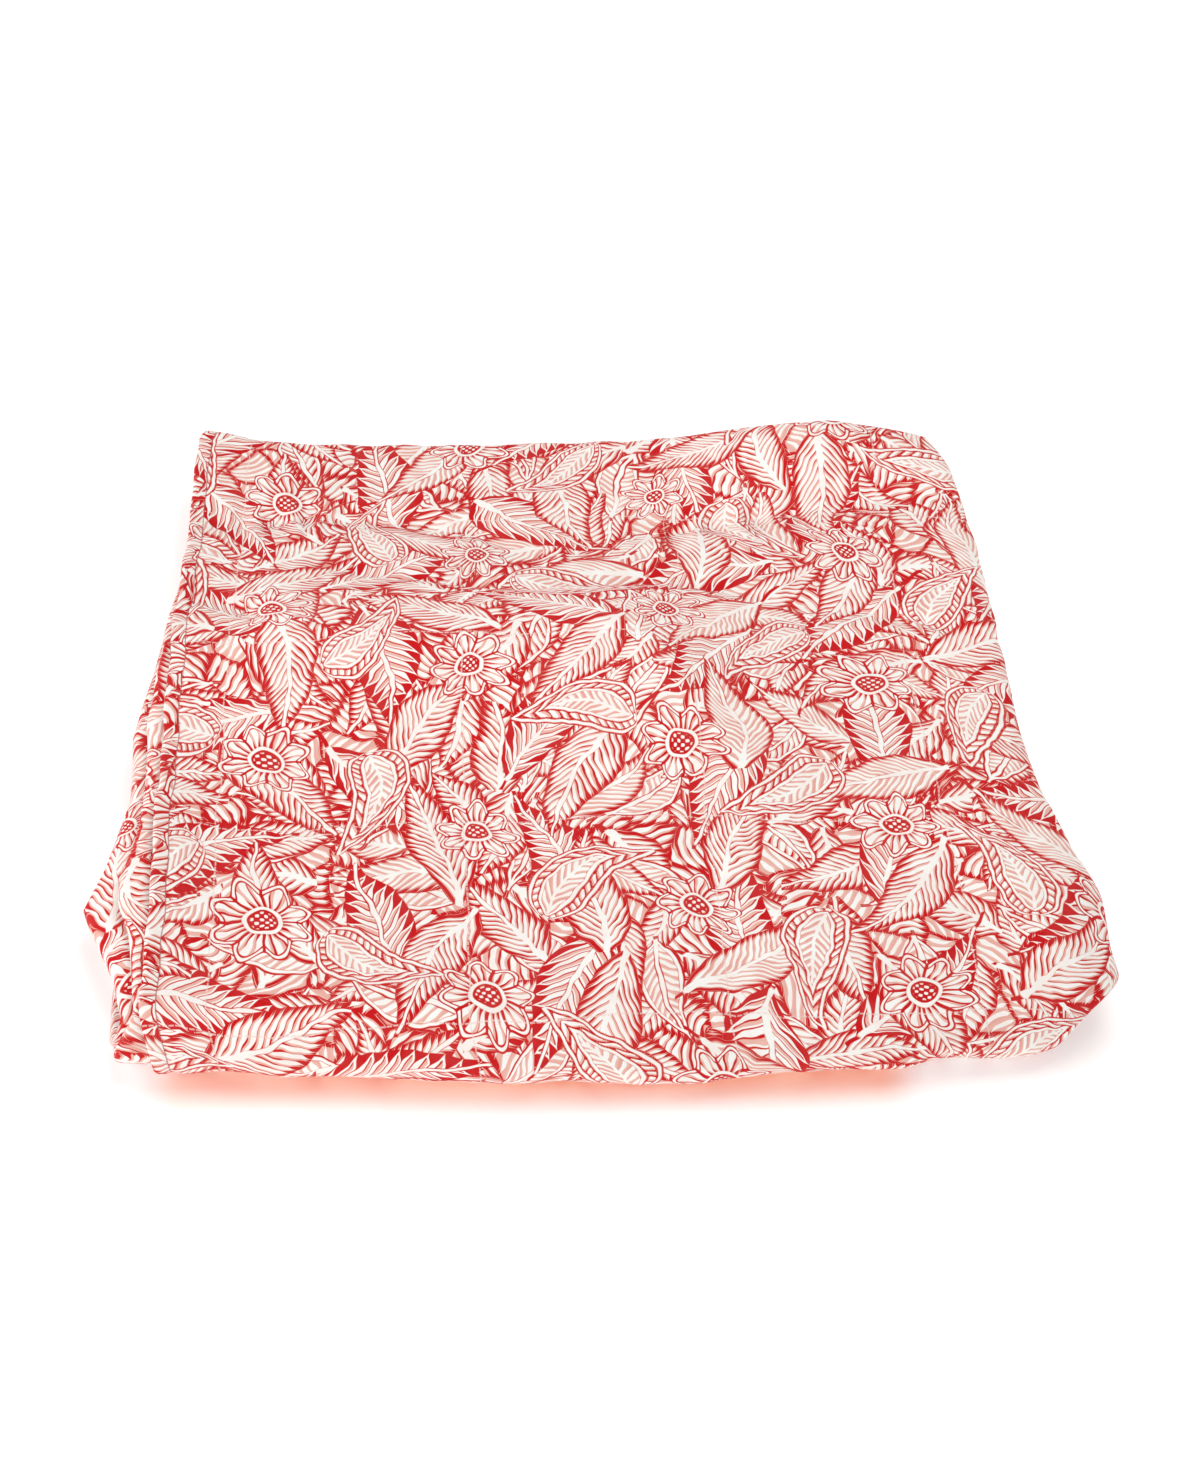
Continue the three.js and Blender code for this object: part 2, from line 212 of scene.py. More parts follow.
# Mesh lines: the step between them in each section of a stretch, in the order that the cloth runs
TOP_SECTIONS = [
    dict(end=309, step=2.4), dict(end=262, step=4.6), dict(end=130, step=3.2), dict(end=0, step=4.8),
    dict(end=FRONT_CENTRE, step=6.2),
]
LOWER_SECTIONS = [dict(end=280, step=16), dict(end=110, step=14), dict(end=FRONT_CENTRE, step=36)]
UPPER_SECTIONS = [dict(end=110, step=30), dict(end=280, step=11), dict(end=UPPER_END, step=13)]
FACE_SECTIONS = [
    dict(end=-182, step=3.2), dict(end=50, step=6.4), dict(end=134, step=3.2), dict(end=300, step=6.2),
]
HEM_ZONE = 22
HEM_STEPS = 10
HEM_CLOSER = 1.4  # lines lie closer together towards the hem
ROLL_STEPS = 12
UNDER_STEPS = 36
TURN_STEPS = 9
INNER_STEPS = 26
FRONT_STEPS = 26
BOTTOM_STEPS = 18
BACK_STEPS = 10
INSIDE_STEPS = 8

# Maps of the cloth: the flat cloth's own, and the one for baked pictures, with how much room each stretch
# gets on it beside the top, which shows
FLAT_MAP = "flat"
SIDE_DISTANCE = "to_side"
BAKE_MAP = "OFBake"
STRETCH_ROOM = dict(top=1.0, bottom=0.3, lower=0.12, upper=0.12)
WIDTH_ROOM = dict(hem=1.0, face=1.0, roll=1.0, under=0.16, turn=1.0, inner=0.06)
INSIDE_ROOM = 0.1
ROOM_GAP = 0.01


def smooth(t):
    """Eases from 0 to 1."""
    t = np.clip(t, 0, 1)
    return t * t * (3 - 2 * t)


def table_at(rows, key, column, place):
    """A column of a table at any place, on a smooth curve through its rows."""
    ordered = sorted(rows, key=lambda row: row[key])
    places = np.array([row[key] for row in ordered], float)
    values = np.array([row[column] for row in ordered], float)
    slopes = np.gradient(values, places)
    step = np.clip(np.searchsorted(places, place) - 1, 0, len(places) - 2)
    length = places[step + 1] - places[step]
    t = np.clip((place - places[step]) / length, 0, 1)
    return (
        values[step] * (2 * t**3 - 3 * t**2 + 1) + values[step + 1] * (3 * t**2 - 2 * t**3)
        + length * (slopes[step] * (t**3 - 2 * t**2 + t) + slopes[step + 1] * (t**3 - t**2))
    )


def waves(x, y, size, seed):
    """Soft random hills about this size, from -1 to 1."""
    rng = np.random.default_rng(seed)
    lattice = rng.uniform(-1, 1, (LATTICE, LATTICE))
    column, row = np.floor(x / size).astype(int), np.floor(y / size).astype(int)
    s, t = smooth(x / size - column), smooth(y / size - row)

    def at(i, j):
        return lattice[(row + i) % LATTICE, (column + j) % LATTICE]

    near = at(0, 0) * (1 - s) + at(0, 1) * s
    far = at(1, 0) * (1 - s) + at(1, 1) * s
    return near * (1 - t) + far * t


def in_sections(start, sections):
    """Places from the start through each section's end, in even steps of about the section's own."""
    places = [start]
    for section in sections:
        count = round(abs(section["end"] - places[-1]) / section["step"])
        places.extend(np.linspace(places[-1], section["end"], count + 1)[1:])
    return np.array(places)


def closer_at_ends(steps):
    """Shares from 0 to 1 whose steps are half as wide at both ends."""
    even = np.linspace(0, 1, steps + 1)
    return ((even + (1 - np.cos(math.pi * even)) / 2) / 2)[None, :]


def length_rows():
    """The middle of the strip in the Y-Z plane at each line along the length, from the top's back end to
    the upper strip's, with its outward normal, how far the strip reaches to both sides and its room on the
    map for baked pictures."""
    rows = []

    def flat(stretch, places):
        for y in places:
            rows.append(dict(
                y=y, z=STRIP * LEVEL[stretch], ny=0.0, nz=FACING[stretch],
                start=stretch, end=stretch, blend=0.0,
            ))

    def fold(start, end, centre, z, radius, steps, out, begins, facing=1, change=(0, 1)):
        """A half turn out to the front at -1 or the back at 1. It begins at the top at 1 or below at -1,
        and the cloth's face is outside at 1 or inside at -1."""
        for turn in np.linspace(0, math.pi, steps + 1)[1:-1]:
            outward, upward = out * math.sin(turn), begins * math.cos(turn)
            blend = smooth((turn / math.pi - change[0]) / (change[1] - change[0]))
            rows.append(dict(
                y=centre + radius * outward, z=z + radius * upward, ny=facing * outward, nz=facing * upward,
                start=start, end=end, blend=float(blend),
            ))

    flat("top", in_sections(TOP_END, TOP_SECTIONS))
    fold("top", "bottom", FRONT_CENTRE, STACK / 2, FRONT_RADIUS, FRONT_STEPS, out=-1, begins=1,
         change=FRONT_CHANGE)
    flat("bottom", np.linspace(FRONT_CENTRE, BACK_CENTRE, BOTTOM_STEPS + 1))
    fold("bottom", "lower", BACK_CENTRE, STRIP, FOLD_RADIUS, BACK_STEPS, out=1, begins=-1)
    flat("lower", in_sections(BACK_CENTRE, LOWER_SECTIONS))
    fold("lower", "upper", FRONT_CENTRE, STACK / 2, FOLD_RADIUS, INSIDE_STEPS, out=-1, begins=-1, facing=-1)
    flat("upper", in_sections(FRONT_CENTRE, UPPER_SECTIONS))
    lines = {name: np.array([row[name] for row in rows], float) for name in ("y", "z", "ny", "nz", "blend")}

    def blended(value_at):
        start = np.array([value_at(row["start"], row["y"]) for row in rows])
        end = np.array([value_at(row["end"], row["y"]) for row in rows])
        return start + (end - start) * lines["blend"]

    for edge, table in dict(hem=HEM, right=RIGHT, left=LEFT).items():
        waver = waves(lines["y"], lines["z"], WAVER["size"], WAVER_SEEDS[edge])
        reach = blended(lambda stretch, y: table_at(table, "y", stretch, y))
        lines[edge] = reach + WAVER["reach"] * waver
    lines["room"] = blended(lambda stretch, y: STRETCH_ROOM[stretch])
    return lines


def face_shares():
    """Places of the lines across the face, as shares of its width between the hem and the right fold."""
    places = in_sections(HEM[0]["top"] + HEM_ZONE, FACE_SECTIONS)
    return (places - places[0]) / (places[-1] - places[0])


def across_rows(rows):
    """Place across the strip and height over its middle, a column for each line across the width, with
    each column's room on the map and the share of the thickness that its fold leaves."""
    hem, right, left = (rows[edge][:, None] for edge in ("hem", "right", "left"))
    roll, turn, end = right - PITCH, left + PITCH / 2, right - INNER_SHORT
    ones = np.ones_like(hem)
    parts = []

    def add(name, x, height):
        count = x.shape[1]
        room, press = WIDTH_ROOM[name], FOLD_PRESS.get(name, 1.0)
        parts.append((x, height, np.full(count, room), np.full(count, press)))

    def flat(name, start, stop, height, shares):
        add(name, start + (stop - start) * shares, height * ones * np.ones_like(shares))

    def half_turn(steps):
        return np.linspace(0, math.pi, steps + 1)[None, 1:-1]

    hem_shares = (np.linspace(0, 1, HEM_STEPS + 1)[:-1] ** HEM_CLOSER)[None, :]
    flat("hem", hem, hem + HEM_ZONE, PITCH, hem_shares)
    flat("face", hem + HEM_ZONE, roll, PITCH, face_shares()[None, :])
    angle = half_turn(ROLL_STEPS)
    add("roll", roll + PITCH * np.sin(angle), PITCH * np.cos(angle) * ones)
    flat("under", roll, turn, -PITCH, closer_at_ends(UNDER_STEPS))
    angle = half_turn(TURN_STEPS)
    add("turn", turn - PITCH / 2 * np.sin(angle), -PITCH / 2 * (1 + np.cos(angle)) * ones)
    flat("inner", turn, end, 0, closer_at_ends(INNER_STEPS))
    return tuple(np.hstack(values) for values in zip(*parts))


def swell_at(x, y):
    """Rise of the swells at a place in plan."""
    rise = np.zeros_like(x)
    for swell in SWELLS:
        angle = math.radians(swell["turn"])
        along = (x - swell["x"]) * math.cos(angle) + (y - swell["y"]) * math.sin(angle)
        across = (y - swell["y"]) * math.cos(angle) - (x - swell["x"]) * math.sin(angle)
        rise += swell["rise"] * np.exp(-((along / swell["long"]) ** 2) - (across / swell["wide"]) ** 2)
    return rise


def smooth_path(points, pieces=8):
    """A curve through the points, as many short pieces."""
    rows = [dict(at=place, x=x, y=y) for place, (x, y) in enumerate(points)]
    at = np.linspace(0, len(points) - 1, (len(points) - 1) * pieces + 1)
    return np.column_stack([table_at(rows, "at", axis, at) for axis in ("x", "y")])


def path_distance(path, x, y):
    """Distance from the path and how far along it at each place, and the path's whole length."""
    nearest = np.full(x.shape, np.inf)
    along = np.zeros(x.shape)
    passed = 0.0
    for (ax, ay), (bx, by) in zip(path[:-1], path[1:]):
        dx, dy = bx - ax, by - ay
        length = math.hypot(dx, dy)
        t = np.clip(((x - ax) * dx + (y - ay) * dy) / length**2, 0, 1)
        distance = np.hypot(x - ax - t * dx, y - ay - t * dy)
        closer = distance < nearest
        nearest = np.where(closer, distance, nearest)
        along = np.where(closer, passed + t * length, along)
        passed += length
    return nearest, along, passed


def crease_at(x, y):
    """Rise of the creases at a place in plan, and how uneven the outermost layer is beside them."""
    rise, ruffled = np.zeros_like(x), np.zeros_like(x)
    for place, crease in enumerate(CREASES):
        distance, along, length = path_distance(smooth_path(crease["path"]), x, y)
        ends = smooth(along / crease["fade"]) * smooth((length - along) / crease["fade"])
        wide = np.exp(-((distance / crease["soft"]) ** 2))
        core = np.exp(-distance / (crease["soft"] * CREASE_CORE_SOFT))
        profile = (1 - CREASE_CORE) * wide + CREASE_CORE * core
        change = waves(along, np.zeros_like(along), CREASE_DEPTH["size"], CREASE_DEPTH["seed"] + place)
        depth = 1 - CREASE_DEPTH["change"] + CREASE_DEPTH["change"] * change
        ruffle = waves(along, distance * UNEVEN["across"], UNEVEN["size"], UNEVEN["seed"] + place)
        rise += crease["rise"] * depth * profile * ends
        ruffled += crease["uneven"] * (1 + ruffle) * wide * ends
    return rise, ruffled


def gather_at(x, y):
    """Rise of the small gathers at a place in plan."""
    rise = np.zeros_like(x)
    for gather in GATHERS:
        along = y - gather["y"]
        across = x - gather["x"] - gather["lean"] * along
        rise += gather["rise"] * np.exp(-((along / gather["long"]) ** 2) - (across / gather["soft"]) ** 2)
    return rise


def settle(x, y, z):
    """The neat folds settled as they lie: wavy front and back, swells and creases on top, lumps along
    the front fold's foot, both sides of the upper strips bent down."""
    share = z / STACK
    outermost = smooth((z - STACK + PITCH) / (PITCH / 2))
    level = np.zeros_like(x)

    near_front = smooth((FRONT_CENTRE + LINE_FADE - y) / LINE_FADE)
    near_back = smooth((y - TOP_END + LINE_FADE) / LINE_FADE)
    front = table_at(FRONT_LINE, "x", "out", x)
    back = table_at(BACK_LINE, "x", "out", x)
    back = back + WAVER["reach"] * waves(x, level, WAVER["size"], WAVER_SEEDS["back"]) * outermost
    in_front = smooth((FRONT_CENTRE - y) / FRONT_RADIUS)
    lumps = sum(row["reach"] * waves(x, level, row["size"], row["seed"]) for row in LUMPS)
    lumps = lumps * np.exp(-(((z - LUMP_HEIGHT) / LUMP_SOFT) ** 2)) * in_front

    hem = table_at(HEM, "y", "top", y)
    past_right = np.maximum(0, x - table_at(RIGHT, "y", "upper", y) + DROOP_START)
    past_left = np.maximum(0, hem - x)
    left_share = smooth((z - LEFT_DROOP["least"]) / (LEFT_DROOP["full"] - LEFT_DROOP["least"]))
    right_droop = past_right**2 / (2 * DROOP_RADIUS["right"])
    left_droop = left_share * past_left**2 / (2 * DROOP_RADIUS["left"])
    to_corner = np.clip(1 - np.maximum(x - hem, TOP_END - y) / CORNER_ROUND, 0, 1)
    inset = 1 - math.sqrt(0.5)  # of a round corner in a square one, as a share of its radius
    rounded = to_corner**2 * outermost * CORNER_ROUND * inset

    creased, ruffled = crease_at(x, y)
    by_hem = np.exp(-np.maximum(0, x - hem) / HEM_LIFT_SOFT)
    lie = LIE["reach"] * waves(x, y, LIE["size"], LIE["seed"])
    ripple = RIPPLE["reach"] * (1 + waves(x, y, RIPPLE["size"], RIPPLE["seed"]))
    fine = ruffled + ripple + gather_at(x, y) + HEM_LIFT * by_hem
    rise = swell_at(x, y) * share**SWELL_POWER + (creased + lie) * share**CREASE_POWER + fine * outermost
    y = y + near_back * back - near_front * front - lumps - rounded
    return np.stack([x + rounded, y, z + rise - (right_droop + left_droop) - UNDERSIDE], axis=-1)


def to_quilting(flat, first):
    """Distance to the nearest line of quilting."""
    past = flat - first + QUILT_SPACING / 2
    return np.abs(past % QUILT_SPACING - QUILT_SPACING / 2)


def half_thickness(u, v, to_side, to_edge):
    """Half the padded thickness: drawn in at the quilting and the hem's seam, round at the edge."""
    quilting = np.minimum(to_quilting(u, QUILT_FIRST["width"]), to_quilting(v, QUILT_FIRST["length"]))
    drawn = QUILT_DEPTH * (1 - smooth(quilting / QUILT_SOFT))
    seam = HEM_SEAM_DEPTH * (1 - smooth(np.abs(to_side - HEM_SEAM) / HEM_SEAM_SOFT))
    inside = np.clip(1 - to_edge / EDGE_ROUND, 0, 1)
    edge = np.maximum(np.sqrt(1 - inside**2), EDGE_LEAST)
    return (THICKNESS / 2 - np.maximum(drawn, seam)) * edge


def run_length(points, axis):
    """Distance along the grid from its first line."""
    steps = np.linalg.norm(np.diff(points, axis=axis), axis=-1)
    start = np.zeros_like(np.take(steps, [0], axis=axis))
    return np.concatenate([start, np.cumsum(steps, axis=axis)], axis=axis)


def bake_places(points, rows_room, columns_room):
    """Places of the grid's points on the map for baked pictures: the outer face, then the inner one."""
    def shared(axis, room):
        steps = np.linalg.norm(np.diff(points, axis=axis), axis=-1).mean(1 - axis)
        run = np.concatenate([[0], np.cumsum(steps * (room[1:] + room[:-1]) / 2)])
        return run / run[-1]

    across, along = np.meshgrid(shared(1, columns_room), shared(0, rows_room))
    outer = np.column_stack([across.ravel(), INSIDE_ROOM + (1 - INSIDE_ROOM) * along.ravel()])
    inner = np.column_stack([across.ravel(), (INSIDE_ROOM - ROOM_GAP) * along.ravel()])
    return np.concatenate([outer, inner])


def sheet_faces(row_count, column_count):
    """The faces of both sides of the sheet, and those of the rim between them."""
    count = row_count * column_count
    grid = np.arange(count).reshape(row_count, column_count)
    corner = grid[:-1, :-1].ravel()
    face = np.column_stack([corner, corner + column_count, corner + column_count + 1, corner + 1])
    ring = np.concatenate([grid[:, 0], grid[-1, 1:], grid[-2::-1, -1], grid[0, -2:0:-1]])
    after = np.roll(ring, -1)
    rim = np.column_stack([after, ring, ring + count, after + count])
    return np.concatenate([face, face[:, ::-1] + count]), rim


def cloth_mesh():
    """The closed sheet: both sides and the rim between them, with its maps and each point's distance from
    the hem."""
    rows = length_rows()
    x, height, columns_room, press = across_rows(rows)
    y = rows["y"][:, None] + rows["ny"][:, None] * height
    z = rows["z"][:, None] + rows["nz"][:, None] * height
    middle = settle(x, y, z)
    u, v = run_length(middle, 1), run_length(middle, 0)
    to_side = np.minimum(u, u[:, -1:] - u)
    to_edge = np.minimum(to_side, np.minimum(v, v[-1:, :] - v))
    normal = np.cross(np.gradient(middle, axis=0), np.gradient(middle, axis=1))
    normal /= np.linalg.norm(normal, axis=-1, keepdims=True)
    squeezed = 1 + CREASE_POWER * np.minimum(0, crease_at(x, y)[0]) / STACK
    half = (half_thickness(u, v, to_side, to_edge) * squeezed * press)[..., None]
    outer, inner = middle + normal * half, middle - normal * half
    points = np.concatenate([outer.reshape(-1, 3), inner.reshape(-1, 3)])
    points[:, 2] = np.maximum(points[:, 2], 0)
    points[:, :2] -= LAYOUT_CENTRE

    sides, rim = sheet_faces(*x.shape)
    faces = np.concatenate([sides, rim])
    mesh = bpy.data.meshes.new("coverlet_cloth")
    mesh.from_pydata((points * MM).tolist(), [], faces.tolist())
    on_cloth = np.tile(np.column_stack([u.ravel(), v.ravel()]) * MM, (2, 1))
    baked = bake_places(middle, rows["room"], columns_room)
    maps = {
        FLAT_MAP: on_cloth[faces.ravel()],
        BAKE_MAP: baked[np.concatenate([sides, rim % x.size]).ravel()],
    }
    for name, places in maps.items():
        layer = mesh.uv_layers.new(name=name)
        layer.data.foreach_set("uv", places.ravel())
    distance = mesh.attributes.new(SIDE_DISTANCE, "FLOAT", "POINT")
    distance.data.foreach_set("value", np.tile(to_side.ravel(), 2))
    mesh.polygons.foreach_set("use_smooth", np.ones(len(faces), bool))
    mesh.update()
    return mesh


# The print: a generic scatter of leaves, ferns, flowers and curled drops, drawn in strokes of paper
# white with a half-tone shadow on a red ground. Sizes are in millimetres on the flat cloth. A motif's pairs
# are where a tone begins and where it is full, or a rib's widths at the base and at the tip.
GROUND = (0.54, 0.007, 0.010, 1)
HALF_TONE = (0.78, 0.45, 0.38, 1)
PAPER = (0.89, 0.868, 0.83, 1)
HALF = 0.5
LINE = 2.1
GAP = 1.4
SOFT = 0.3
SHARP = 0.01
FULL_TURN = 2 * math.pi
WANDER = [dict(size=60, reach=8.0), dict(size=10, reach=1.2)]
PRESS = dict(size=14, rise=(0.3, 0.7), least=0.8, most=1.2)  # how the pen thins and swells its strokes
FADE = dict(size=22, rise=(0.35, 0.65), paper=0.08, ground=0.02)  # how far the print varies in strength
STROKE = dict(lag=0.25, soft=0.1)  # shares of the step from one stroke to the next
CELLS = dict(stagger=0.5, skew=7.3)  # how far each column shifts its cells and their chances
HATCHING = dict(size=30, pitch=6.0, width=0.55, taper=5.0, bend=0.06, tinted=0.64, tint=0.45)
MOTIFS = [
    dict(draw="feather", size=59, shift=(0.15, 0.40), long=32, wide=12, pitch=5.8, slant=1.0, curl=12),
    dict(draw="leaf", size=83, shift=(0.60, 0.85), long=38, wide=12.5, pitch=6.0, slant=0.9, curl=14),
    dict(draw="feather", size=71, shift=(0.35, 0.10), long=42, wide=14.5, pitch=6.2, slant=1.2, curl=18),
    dict(draw="fern", size=113, shift=(0.20, 0.62), long=56, wide=19, pitch=11.0, slant=1.0, curl=26),
    dict(draw="feather", size=101, shift=(0.72, 0.30), long=54, wide=16.5, pitch=6.6, slant=1.4, curl=26),
    dict(draw="flower", size=139, shift=(0.00, 0.00), radius=31, petals=8),
    dict(draw="paisley", size=139, shift=(0.50, 0.22), long=42, wide=17.5, hook=12),
]
OUTLINE = dict(bow=0.4, full=1.1, taper=0.45)  # of every kind of leaf
RIB_END = (1.04, 1.0)
LEAF = dict(
    tinted=0.55, tint=0.45, grow=(-1.0, 8.0), swell=0.3, thin=0.33, clear=2.2, inset=0.3,
    rib=(1.9, 0.8), rib_room=(3.0, 2.0),
)
FEATHER = dict(
    tinted=0.74, tint=0.42, tint_edge=(1.0, 4.0), grow=(-0.8, 5.0), width=0.55, clear=1.7, rib=(2.2, 0.9),
)
FERN = dict(
    start=-2, full=0.5, width=0.9, body=(-0.05, 0.07), shaded=(-0.02, 0.04), vein=(0.08, 0.16),
    rim=(-0.05, 0.05), rim_end=(0.30, 0.22), clear=1.9, rib=(2.0, 0.9),
)
FLOWER = dict(
    least=0.82, chance=0.25, wave=0.14, lines=3, grow=(0.25, 0.6), width=0.62, parting=(0.8, 1.8),
    petal=(0.3, 0.34), ring=(0.27, 0.29), ring_end=(0.37, 0.35), dotted=1.2, dot=(0.1, 0.4),
    dots_end=(0.24, 0.2),
)
PAISLEY = dict(
    bow=0.6, level=0.55, taper=0.62, ring=7.6, heart=11.4, rib=1.1, tint=0.4, tip=(1.0, 0.99),
    lace=dict(slant=0.9, pitch=6.2, width=0.5), barbs=dict(slant=-1.2, pitch=6.4, width=0.55),
)

# Stitching, the painted shade along the hem's seam, weave and finish
THREAD = (0.80, 0.62, 0.57, 1)
THREAD_COVER = 0.7
# A thin line of painted shade along the hem's seam, where its drawn-in groove would be shaded
SEAM_PAINTED_SHADE = (0.32, 0.04, 0.04, 1)
SEAM_SHADE_COVER = 0.6
SEAM_SHADE_WIDTH = (0.7, 0.2)
SEAM_EDGE = 0.2
STITCH = dict(length=4.0, share=0.78, soft=0.1, width=0.5)
HEM_SHIFT = (47.0, 81.0)  # the hem's strip carries another part of the print
WEAVE = 0.6
RELIEF = dict(strength=0.35, depth=0.05, thread=3.0)
COTTON = {"Roughness": 0.86, "Specular IOR Level": 0.08, "Sheen Weight": 0.05, "Sheen Roughness": 0.5}


class Field:
    """A number that varies over the cloth: a node's output that takes part in sums."""

    def __init__(self, tree, socket):
        self.tree = tree
        self.socket = socket

    def do(self, operation, *values):
        node = self.tree.nodes.new("ShaderNodeMath")
        node.operation = operation
        for place, value in enumerate(values):
            if isinstance(value, Field):
                self.tree.links.new(value.socket, node.inputs[place])
            else:
                node.inputs[place].default_value = value
        return Field(self.tree, node.outputs[0])

    def __add__(self, other):
        return self.do("ADD", self, other)

    def __sub__(self, other):
        return self.do("SUBTRACT", self, other)

    def __rsub__(self, other):
        return self.do("SUBTRACT", other, self)

    def __mul__(self, other):
        return self.do("MULTIPLY", self, other)

    def __truediv__(self, other):
        return self.do("DIVIDE", self, other)

    def abs(self):
        return self.do("ABSOLUTE", self)

    def sin(self):
        return self.do("SINE", self)

    def cos(self):
        return self.do("COSINE", self)

    def floor(self):
        return self.do("FLOOR", self)

    def fract(self):
        return self.do("FRACT", self)

    def root(self):
        return self.do("SQRT", self)

    def sign(self):
        return self.do("SIGN", self)

    def most(self, other):
        return self.do("MAXIMUM", self, other)

    def ramp(self, start, end):
        """Eases from 0 at start to 1 at end, whichever is larger."""
        node = self.tree.nodes.new("ShaderNodeMapRange")
        node.interpolation_type = "SMOOTHSTEP"
        self.tree.links.new(self.socket, node.inputs["Value"])
        node.inputs["From Min"].default_value = min(start, end)
        node.inputs["From Max"].default_value = max(start, end)
        node.inputs["To Min"].default_value = float(start > end)
        node.inputs["To Max"].default_value = float(start < end)
        return Field(self.tree, node.outputs["Result"])

    def past(self, start):
        """1 past this distance, 0 before it."""
        return self.ramp(start - SOFT, start + SOFT)

    def before(self, end):
        """1 before this distance, 0 past it."""
        return self.ramp(end + SOFT, end - SOFT)

    def above(self, limit):
        """1 where this random number is above the limit, 0 elsewhere."""
        return self.ramp(limit, limit + SHARP)

    def over(self, below, cover):
        """This tone laid over another where cover is 1."""
        return below + (self - below) * cover


def split(tree, socket, kind, names):
    """The parts of a colour or vector."""
    node = tree.nodes.new("ShaderNodeSeparate" + kind)
    tree.links.new(socket, node.inputs[0])
    return [Field(tree, node.outputs[name]) for name in names]


def joined(x, y):
    """A vector in the flat cloth's plane."""
    node = x.tree.nodes.new("ShaderNodeCombineXYZ")
    x.tree.links.new(x.socket, node.inputs["X"])
    x.tree.links.new(y.socket, node.inputs["Y"])
    return node.outputs["Vector"]


def texture(x, y, kind, dimensions, scale=None, feature=None):
    """One of the random textures, at a place on the flat cloth."""
    node = x.tree.nodes.new("ShaderNodeTex" + kind)
    setattr(node, dimensions, "2D")
    if scale:
        node.inputs["Scale"].default_value = scale
    if feature:
        node.feature = feature
    x.tree.links.new(joined(x, y), node.inputs["Vector"])
    return node


def turned(x, y, angle):
    """Places turned by an angle."""
    sin, cos = angle.sin(), angle.cos()
    return x * cos + y * sin, y * cos - x * sin


def cells(x, y, motif):
    """Places measured from the middles of staggered cells, and three random numbers for each cell."""
    size, shift = motif["size"], motif["shift"]
    across = x / size + shift[0]
    column = across.floor()
    down = y / size + column * CELLS["stagger"] + shift[1]
    row = down.floor()
    noise = texture(column, row + column * CELLS["skew"], "WhiteNoise", "noise_dimensions")
    chances = split(x.tree, noise.outputs["Color"], "Color", ("Red", "Green", "Blue"))
    return (across.fract() - 0.5) * size, (down.fract() - 0.5) * size, chances


def wandered(x, y, size, reach):
    """Places moved softly, so that drawn lines waver."""
    noise = texture(x, y, "Noise", "noise_dimensions", 1 / size)
    noise.inputs["Detail"].default_value = 0
    red, green = split(x.tree, noise.outputs["Color"], "Color", ("Red", "Green"))
    return x + (red - 0.5) * (2 * reach), y + (green - 0.5) * (2 * reach)


def pressed(x, y):
    """How hard the pen is pressed at each place."""
    noise = texture(x, y, "Noise", "noise_dimensions", 1 / PRESS["size"])
    noise.inputs["Detail"].default_value = 0
    hard = Field(x.tree, noise.outputs["Fac"]).ramp(*PRESS["rise"])
    return hard * (PRESS["most"] - PRESS["least"]) + PRESS["least"]


def stroke(phase, width):
    """Tones of one drawn stroke after another, white as wide as this share of the step, each with a
    half-tone shadow that lags behind it."""
    def band(place):
        return (width - (place.fract() - 0.5).abs() * 2).ramp(-STROKE["soft"], STROKE["soft"])

    return band(phase).most(band(phase + STROKE["lag"]) * HALF)


def hatching(x, y, press):
    """Patches of slightly curved strokes that run all ways and end short of each patch's edge."""
    size = HATCHING["size"]
    patch = texture(x, y, "Voronoi", "voronoi_dimensions", 1 / size)
    border = texture(x, y, "Voronoi", "voronoi_dimensions", 1 / size, "DISTANCE_TO_EDGE")
    middle = split(x.tree, patch.outputs["Position"], "XYZ", ("X", "Y"))
    turn, bend, tint = split(x.tree, patch.outputs["Color"], "Color", ("Red", "Green", "Blue"))
    a, b = turned(x - middle[0], y - middle[1], turn * FULL_TURN)
    inside = Field(x.tree, border.outputs["Distance"]) * size
    width = inside.ramp(0, HATCHING["taper"]) * press * HATCHING["width"]
    strokes = stroke((a + b * b * (bend - 0.5) * HATCHING["bend"]) / HATCHING["pitch"], width)
    return strokes.most(tint.above(HATCHING["tinted"]) * inside.past(GAP) * HATCHING["tint"])


def spread(x, y, motif):
    """Places in a leaf in each cell, turned and bent at random: off its midrib, from its base at -1 to its
    tip at 1, in from its edge and along its barbs, and a random number."""
    a, b, (turn, bend, chance) = cells(x, y, motif)
    a, b = turned(a, b, turn * FULL_TURN)
    t = a / motif["long"]
    side = (b + (bend - 0.5) * motif["curl"] * (t * t - OUTLINE["bow"])).abs()
    inside = (1 - t * t).most(0.0) * (OUTLINE["full"] - t * OUTLINE["taper"]) * motif["wide"] - side
    barbs = (a - side * motif["slant"]) / motif["pitch"]
    return side, t, inside, barbs, chance


def midrib(side, t, press, ends):
    """A leaf's midrib, which thins from its base to its tip."""
    base, tip = ends
    width = (t * (tip - base) / 2 + (tip + base) / 2) * press
    return (width - side).ramp(-SOFT, SOFT) * t.abs().ramp(*RIB_END)


def leaf(x, y, below, press, motif):
    """One outlined leaf in each cell, with a midrib and side strokes."""
    side, t, inside, barbs, chance = spread(x, y, motif)
    tint = chance.above(LEAF["tinted"]) * LEAF["tint"]
    width = (inside.ramp(*LEAF["grow"]) * LEAF["swell"] + LEAF["thin"]) * press
    tone = stroke(barbs, width).most(tint) * side.past(LEAF["clear"]) * inside.past(LINE + LEAF["inset"])
    tone = tone.most(inside.past(0) * inside.before(LINE))
    tone = tone.most(midrib(side, t, press, LEAF["rib"]))
    return tone.over(below, inside.past(-GAP).most(midrib(side, t, press, LEAF["rib_room"])))


